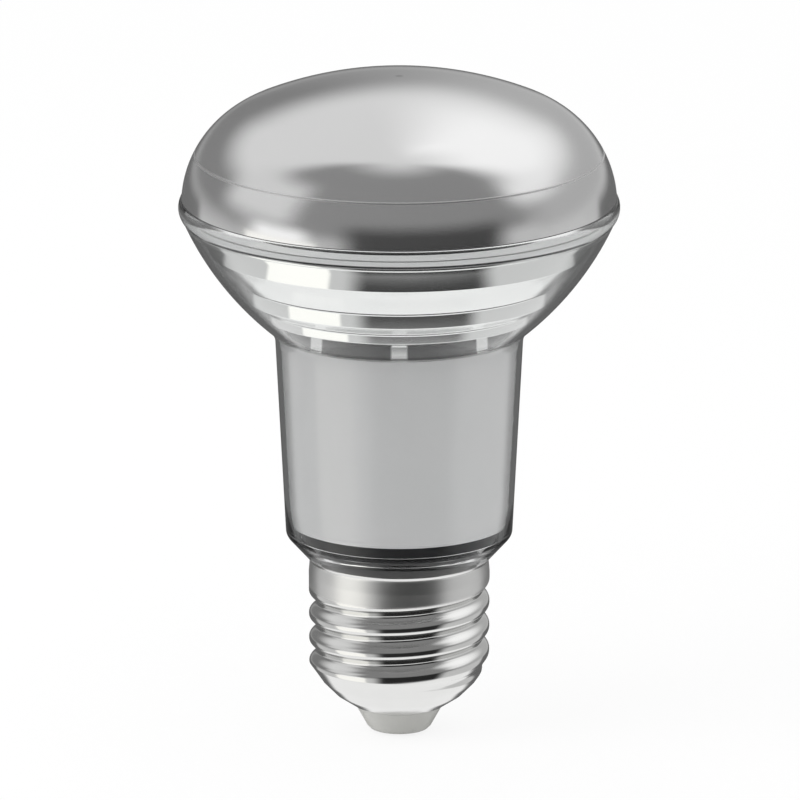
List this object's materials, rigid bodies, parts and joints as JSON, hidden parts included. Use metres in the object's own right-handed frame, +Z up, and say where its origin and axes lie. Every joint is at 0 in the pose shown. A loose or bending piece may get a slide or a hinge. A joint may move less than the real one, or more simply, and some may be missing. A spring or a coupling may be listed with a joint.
{
  "type": "reflector bulb",
  "caption": "Screw-cap reflector bulb: clear bellied body with a stepped mirror bowl inside, satin domed cover, straight neck over a metal sleeve and driver.",
  "frame": {"origin": "middle of the centre contact's lower face, where the lamp meets its holder", "axes": "+Z up the lamp's axis to the crown of the cover, +X across the driver board's width, -Y towards the picture's camera"},
  "size_m": [0.0634, 0.0634, 0.0976],
  "materials": {
    "satin_cover": "satin, faintly milky",
    "clear_body": "clear and smooth",
    "mirror_coat": "vacuum mirror coat",
    "spun_aluminium": "fine turned, bright",
    "plated_cap": "bright nickel plate",
    "cap_insulation": "moulded, light grey",
    "contact_brass": "pressed, bright",
    "white_board": "white solder mask",
    "phosphor": "yellow phosphor in clear resin",
    "screw_steel": "zinc plated",
    "red_wire": "silicone insulation",
    "black_wire": "silicone insulation",
    "housing_plastic": "moulded, black",
    "green_board": "lacquered laminate",
    "can_sleeve": "shrink sleeve on an aluminium can",
    "ferrite": "pressed and fired",
    "copper_wire": "enamelled copper",
    "film_case": "dipped resin",
    "chip_resin": "moulded resin",
    "resistor_coat": "flameproof lacquer"
  },
  "bodies": {
    "root": {"front_cover": "satin_cover", "outer_body": "clear_body", "reflector": "mirror_coat", "neck_sleeve": "spun_aluminium", "cap_shell": "plated_cap", "cap_insulator": "cap_insulation", "centre_contact": "contact_brass", "led_board": "white_board", "led_chips": "phosphor", "board_screws": "screw_steel", "led_wire_positive": "red_wire", "led_wire_negative": "black_wire", "driver_housing": "housing_plastic", "driver_board": "green_board", "input_capacitor": "can_sleeve", "output_capacitor": "can_sleeve", "inductor_core": "ferrite", "inductor_winding": "copper_wire", "film_capacitor": "film_case", "bridge_rectifier": "chip_resin", "driver_chip": "chip_resin", "fusible_resistor": "resistor_coat", "live_wire": "red_wire", "neutral_wire": "black_wire"}
  },
  "joints": []
}
